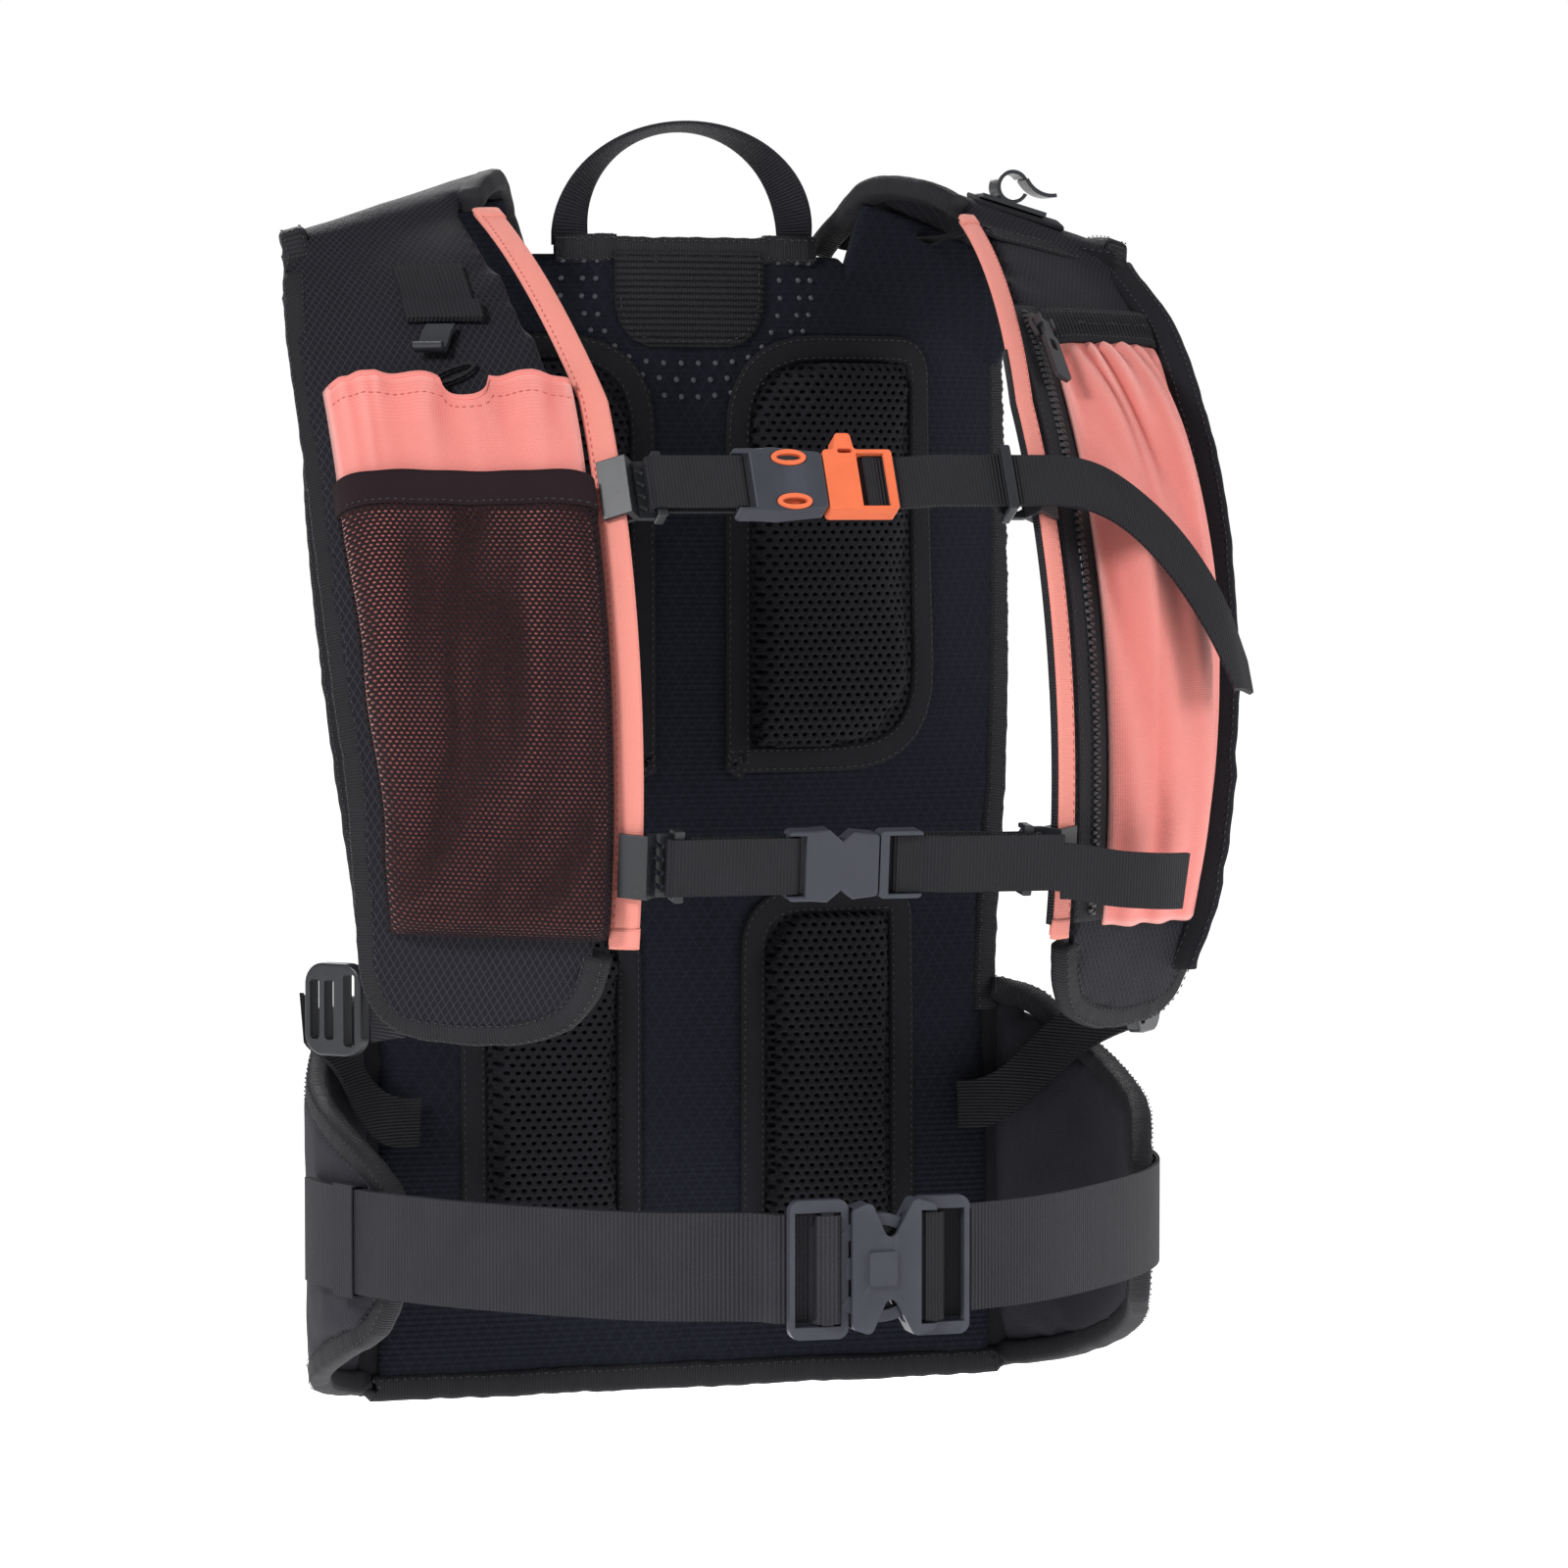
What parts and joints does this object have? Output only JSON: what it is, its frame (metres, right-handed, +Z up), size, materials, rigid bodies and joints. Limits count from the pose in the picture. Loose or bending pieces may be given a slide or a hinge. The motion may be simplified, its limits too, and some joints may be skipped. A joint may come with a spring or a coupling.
{
  "type": "hydration pack",
  "caption": "vest-style hydration pack with padded back panel, wide pocketed shoulder straps, sternum straps with side-release buckles and a hip belt",
  "frame": {"origin": "where the back panel rests on the small of the wearer's back: on the panel's front face, on its centre line, level with its bottom edge", "axes": "+Z up the wearer's back, +X to the wearer's left, -Y towards the chest, +Y towards the bag"},
  "size_m": [0.3414, 0.3099, 0.4899],
  "materials": {
    "coral_fabric": "matt woven polyester",
    "shell_fabric": "ripstop polyester",
    "panel_fabric": "ribbed stretch knit",
    "spacer_mesh": "open spacer mesh",
    "pocket_mesh": "fine stretch mesh",
    "webbing": "ribbed polyester webbing",
    "dark_plastic": "moulded acetal",
    "orange_plastic": "moulded acetal",
    "zipper": "moulded tooth zipper",
    "frame_sheet": "thin polyethylene sheet",
    "bladder": "translucent polyurethane film"
  },
  "bodies": {
    "pack": {"adjuster_webbings": "webbing", "back_panel": "panel_fabric", "belt_keeper": "webbing", "bottom_binding": "webbing", "elastic_ring": "webbing", "flask_pocket": "coral_fabric", "frame_sheet": "frame_sheet", "hip_buckle_male": "dark_plastic", "hip_webbing_left": "webbing", "hip_webbing_right": "webbing", "hip_wing_left": "shell_fabric", "hip_wing_right": "shell_fabric", "hook_tab": "webbing", "hose_clip": "dark_plastic", "main_bag": "shell_fabric", "mesh_pocket": "pocket_mesh", "neck_binding": "webbing", "neck_patch": "webbing", "pad_lower_left": "spacer_mesh", "pad_lower_right": "spacer_mesh", "pad_upper_left": "spacer_mesh", "pad_upper_right": "spacer_mesh", "pocket_elastic": "shell_fabric", "rail_left": "coral_fabric", "rail_right": "coral_fabric", "rear_zipper": "zipper", "reservoir": "bladder", "reservoir_closure": "dark_plastic", "reservoir_hanger": "dark_plastic", "shoulder_strap_left": "shell_fabric", "shoulder_strap_right": "shell_fabric", "strap_tabs": "webbing", "zip_pocket": "coral_fabric", "zipper_chain": "zipper", "zipper_tape": "zipper"},
    "upper_strap": {"upper_clip_left": "dark_plastic", "upper_clip_right": "dark_plastic", "upper_webbing_left": "webbing", "upper_buckle_female": "dark_plastic", "buckle_rings": "orange_plastic"},
    "whistle_half": {"whistle_buckle": "orange_plastic", "whistle_webbing": "webbing"},
    "lower_strap": {"lower_clip_left": "dark_plastic", "lower_clip_right": "dark_plastic", "lower_webbing_left": "webbing", "lower_webbing_right": "webbing", "lower_buckle_female": "dark_plastic"},
    "ladder_half": {"ladder_buckle": "dark_plastic", "lower_tail": "webbing"},
    "hip_half": {"hip_buckle_female": "dark_plastic", "hip_loop": "webbing"},
    "zip_slider": {"zipper_slider": "zipper"},
    "zip_pull": {"zipper_pull": "zipper"},
    "hook": {"tether_hook": "dark_plastic"},
    "handle": {"haul_handle": "webbing"},
    "lock_left": {"ladder_lock_left": "dark_plastic"},
    "lock_right": {"ladder_lock_right": "dark_plastic"},
    "rear_slider": {"rear_zip_slider": "zipper"},
    "rear_pull": {"rear_zip_pull": "zipper"}
  },
  "joints": [
    {"name": "upper_strap_height", "type": "hinge", "parent": "pack", "child": "upper_strap", "pos_m": [0, 0.019, 0.24], "axis": [1, 0, 0], "range_deg": [-5, 8]},
    {"name": "whistle_release", "type": "slide", "parent": "upper_strap", "child": "whistle_half", "axis": [1, 0, 0], "range_m": [0, 0.017]},
    {"name": "lower_strap_height", "type": "hinge", "parent": "pack", "child": "lower_strap", "pos_m": [0, 0.019, 0.24], "axis": [1, 0, 0], "range_deg": [-10, 4]},
    {"name": "ladder_release", "type": "slide", "parent": "lower_strap", "child": "ladder_half", "axis": [1, 0, 0], "range_m": [0, 0.017]},
    {"name": "hip_release", "type": "slide", "parent": "pack", "child": "hip_half", "axis": [1, 0, 0], "range_m": [0, 0.02]},
    {"name": "zip_travel", "type": "hinge", "parent": "pack", "child": "zip_slider", "pos_m": [0.09639, 0.03443, 0.24], "axis": [1, 0, 0], "range_deg": [0, 55]},
    {"name": "zip_pull_swing", "type": "hinge", "parent": "zip_slider", "child": "zip_pull", "pos_m": [0.09991, -0.12538, 0.40548], "axis": [0.8639, 0.3498, -0.3622], "range_deg": [-150, 0]},
    {"name": "hook_swing", "type": "hinge", "parent": "pack", "child": "hook", "pos_m": [-0.12261, -0.10226, 0.40362], "axis": [-0.766, 0.6428, 0], "range_deg": [0, 100]},
    {"name": "handle_fold", "type": "hinge", "parent": "pack", "child": "handle", "pos_m": [0, 0.01, 0.443], "axis": [1, 0, 0], "range_deg": [-75, 45]},
    {"name": "lock_left_tilt", "type": "hinge", "parent": "pack", "child": "lock_left", "pos_m": [-0.1496, -0.0878, 0.1557], "axis": [0, 0, 1], "range_deg": [-12, 12]},
    {"name": "lock_right_tilt", "type": "hinge", "parent": "pack", "child": "lock_right", "pos_m": [0.1496, -0.0878, 0.1557], "axis": [0, 0, 1], "range_deg": [-12, 12]},
    {"name": "rear_zip_travel", "type": "hinge", "parent": "pack", "child": "rear_slider", "pos_m": [0, -0.11859, 0.33], "axis": [0, 0, 1], "range_deg": [0, 54]},
    {"name": "rear_pull_swing", "type": "hinge", "parent": "rear_slider", "child": "rear_pull", "pos_m": [0.08821, 0.05452, 0.33], "axis": [-0.891, 0.454, 0], "range_deg": [-150, 0]}
  ]
}
